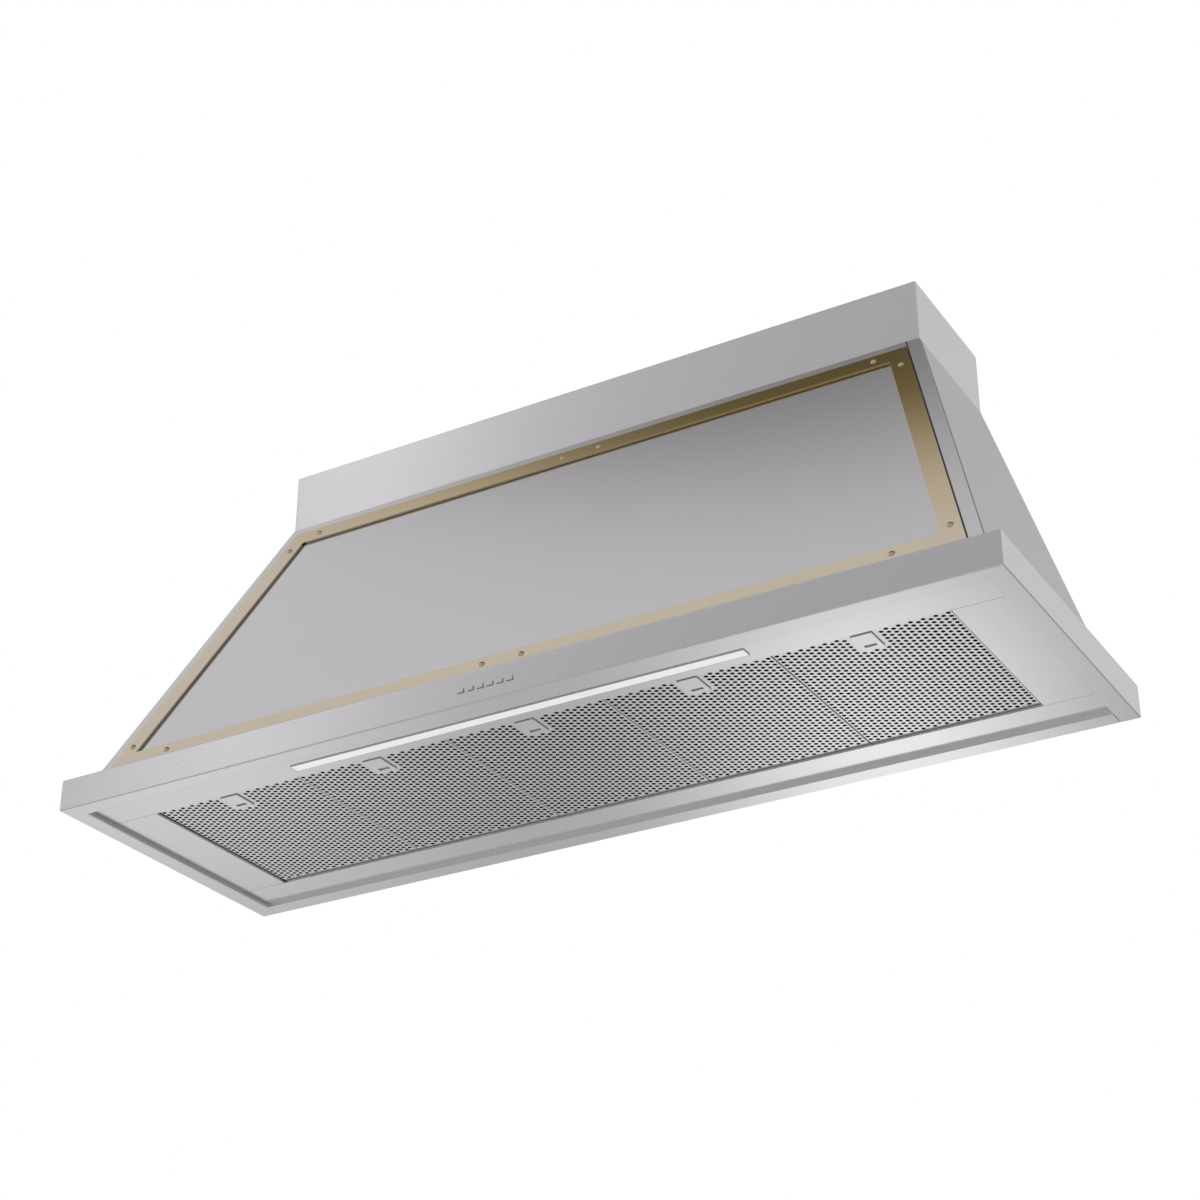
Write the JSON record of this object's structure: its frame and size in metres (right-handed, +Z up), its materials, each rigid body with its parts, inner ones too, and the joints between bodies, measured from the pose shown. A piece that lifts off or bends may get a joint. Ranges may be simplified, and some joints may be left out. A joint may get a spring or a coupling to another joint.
{
  "type": "wall mount range hood",
  "caption": "Wide wall mount range hood with a sloped canopy, a brass frame on its front, drop-down perforated filters, push buttons and a top duct collar.",
  "frame": {"origin": "middle of the rim's bottom rear edge, on the wall's face", "axes": "+X to the hood's right as seen from the front, -Y out of the wall towards the cook, +Z up"},
  "size_m": [1.5, 0.502, 0.66],
  "materials": {
    "steel": "brushed stainless sheet, satin",
    "filter_steel": "perforated stainless sheet, satin",
    "latch_steel": "pressed stainless, bright satin",
    "brass": "brushed, aged satin brass",
    "screw_steel": "turned, polished",
    "button_steel": "satin",
    "galvanised": "galvanised sheet, dull",
    "mesh": "knitted and pleated wire",
    "diffuser": "opal, satin",
    "lamp_body": "extruded, plain",
    "led_board": "coated board",
    "white_plastic": "moulded, satin",
    "black_plastic": "moulded, satin",
    "grey_plastic": "moulded, satin",
    "motor_paint": "painted, satin",
    "wheel_sheet": "galvanised sheet, dull",
    "ground_steel": "ground",
    "flap_sheet": "mill finish"
  },
  "bodies": {
    "hood": {"rim_front": "steel", "rim_left": "steel", "rim_right": "steel", "rim_rear": "steel", "canopy_front": "steel", "canopy_left": "steel", "canopy_right": "steel", "upper_box": "steel", "underside_front": "steel", "underside_rear": "steel", "underside_left": "steel", "underside_right": "steel", "back_plate": "galvanised", "top_deck": "galvanised", "blower_housing": "galvanised", "outlet_duct": "galvanised", "duct_collar": "galvanised", "motor_bracket": "galvanised", "trim_left": "brass", "trim_right": "brass", "trim_top_left": "brass", "trim_top_right": "brass", "trim_bottom_left": "brass", "trim_bottom_right": "brass", "trim_screws": "screw_steel", "case_screws": "screw_steel", "lamp_housing": "lamp_body", "lamp_diffuser": "diffuser", "led_strip": "led_board", "led_driver": "white_plastic", "switch_housing": "black_plastic", "cable_gland": "black_plastic", "junction_box": "grey_plastic", "blower_motor": "motor_paint", "damper_rod": "ground_steel"},
    "button_1_body": {"button_1": "button_steel"},
    "button_2_body": {"button_2": "button_steel"},
    "button_3_body": {"button_3": "button_steel"},
    "button_4_body": {"button_4": "button_steel"},
    "button_5_body": {"button_5": "button_steel"},
    "button_6_body": {"button_6": "button_steel"},
    "filter_1": {"filter_frame_1": "filter_steel", "filter_mesh_1": "mesh"},
    "latch_1": {"filter_latch_1": "latch_steel"},
    "filter_2": {"filter_frame_2": "filter_steel", "filter_mesh_2": "mesh"},
    "latch_2": {"filter_latch_2": "latch_steel"},
    "filter_3": {"filter_frame_3": "filter_steel", "filter_mesh_3": "mesh"},
    "latch_3": {"filter_latch_3": "latch_steel"},
    "filter_4": {"filter_frame_4": "filter_steel", "filter_mesh_4": "mesh"},
    "latch_4": {"filter_latch_4": "latch_steel"},
    "filter_5": {"filter_frame_5": "filter_steel", "filter_mesh_5": "mesh"},
    "latch_5": {"filter_latch_5": "latch_steel"},
    "wheel": {"impeller": "wheel_sheet", "motor_shaft": "ground_steel"},
    "damper_front_flap": {"damper_front": "flap_sheet"},
    "damper_rear_flap": {"damper_rear": "flap_sheet"}
  },
  "joints": [
    {"name": "button_1_push", "type": "slide", "parent": "hood", "child": "button_1_body", "axis": [0, 1, 0], "range_m": [0, 0.0015], "stiffness_N_per_m": 800, "springref_m": -0.001},
    {"name": "button_2_push", "type": "slide", "parent": "hood", "child": "button_2_body", "axis": [0, 1, 0], "range_m": [0, 0.0015], "stiffness_N_per_m": 800, "springref_m": -0.001},
    {"name": "button_3_push", "type": "slide", "parent": "hood", "child": "button_3_body", "axis": [0, 1, 0], "range_m": [0, 0.0015], "stiffness_N_per_m": 800, "springref_m": -0.001},
    {"name": "button_4_push", "type": "slide", "parent": "hood", "child": "button_4_body", "axis": [0, 1, 0], "range_m": [0, 0.0015], "stiffness_N_per_m": 800, "springref_m": -0.001},
    {"name": "button_5_push", "type": "slide", "parent": "hood", "child": "button_5_body", "axis": [0, 1, 0], "range_m": [0, 0.0015], "stiffness_N_per_m": 800, "springref_m": -0.001},
    {"name": "button_6_push", "type": "slide", "parent": "hood", "child": "button_6_body", "axis": [0, 1, 0], "range_m": [0, 0.0015], "stiffness_N_per_m": 800, "springref_m": -0.001},
    {"name": "filter_1_swing", "type": "hinge", "parent": "hood", "child": "filter_1", "pos_m": [-0.5128, -0.0905, 0.012], "axis": [1, 0, 0], "range_deg": [0, 75]},
    {"name": "latch_1_slide", "type": "slide", "parent": "filter_1", "child": "latch_1", "axis": [0, 1, 0], "range_m": [0, 0.006], "stiffness_N_per_m": 250, "springref_m": -0.004},
    {"name": "filter_2_swing", "type": "hinge", "parent": "hood", "child": "filter_2", "pos_m": [-0.2564, -0.0905, 0.012], "axis": [1, 0, 0], "range_deg": [0, 75]},
    {"name": "latch_2_slide", "type": "slide", "parent": "filter_2", "child": "latch_2", "axis": [0, 1, 0], "range_m": [0, 0.006], "stiffness_N_per_m": 250, "springref_m": -0.004},
    {"name": "filter_3_swing", "type": "hinge", "parent": "hood", "child": "filter_3", "pos_m": [0, -0.0905, 0.012], "axis": [1, 0, 0], "range_deg": [0, 75]},
    {"name": "latch_3_slide", "type": "slide", "parent": "filter_3", "child": "latch_3", "axis": [0, 1, 0], "range_m": [0, 0.006], "stiffness_N_per_m": 250, "springref_m": -0.004},
    {"name": "filter_4_swing", "type": "hinge", "parent": "hood", "child": "filter_4", "pos_m": [0.2564, -0.0905, 0.012], "axis": [1, 0, 0], "range_deg": [0, 75]},
    {"name": "latch_4_slide", "type": "slide", "parent": "filter_4", "child": "latch_4", "axis": [0, 1, 0], "range_m": [0, 0.006], "stiffness_N_per_m": 250, "springref_m": -0.004},
    {"name": "filter_5_swing", "type": "hinge", "parent": "hood", "child": "filter_5", "pos_m": [0.5128, -0.0905, 0.012], "axis": [1, 0, 0], "range_deg": [0, 75]},
    {"name": "latch_5_slide", "type": "slide", "parent": "filter_5", "child": "latch_5", "axis": [0, 1, 0], "range_m": [0, 0.006], "stiffness_N_per_m": 250, "springref_m": -0.004},
    {"name": "wheel_spin", "type": "hinge", "parent": "hood", "child": "wheel", "pos_m": [0, -0.168, 0.317], "axis": [1, 0, 0], "continuous": true},
    {"name": "damper_front_swing", "type": "hinge", "parent": "hood", "child": "damper_front_flap", "pos_m": [0, -0.115, 0.58], "axis": [-1, 0, 0], "range_deg": [0, 80]},
    {"name": "damper_rear_swing", "type": "hinge", "parent": "hood", "child": "damper_rear_flap", "pos_m": [0, -0.115, 0.58], "axis": [1, 0, 0], "range_deg": [0, 80]}
  ]
}
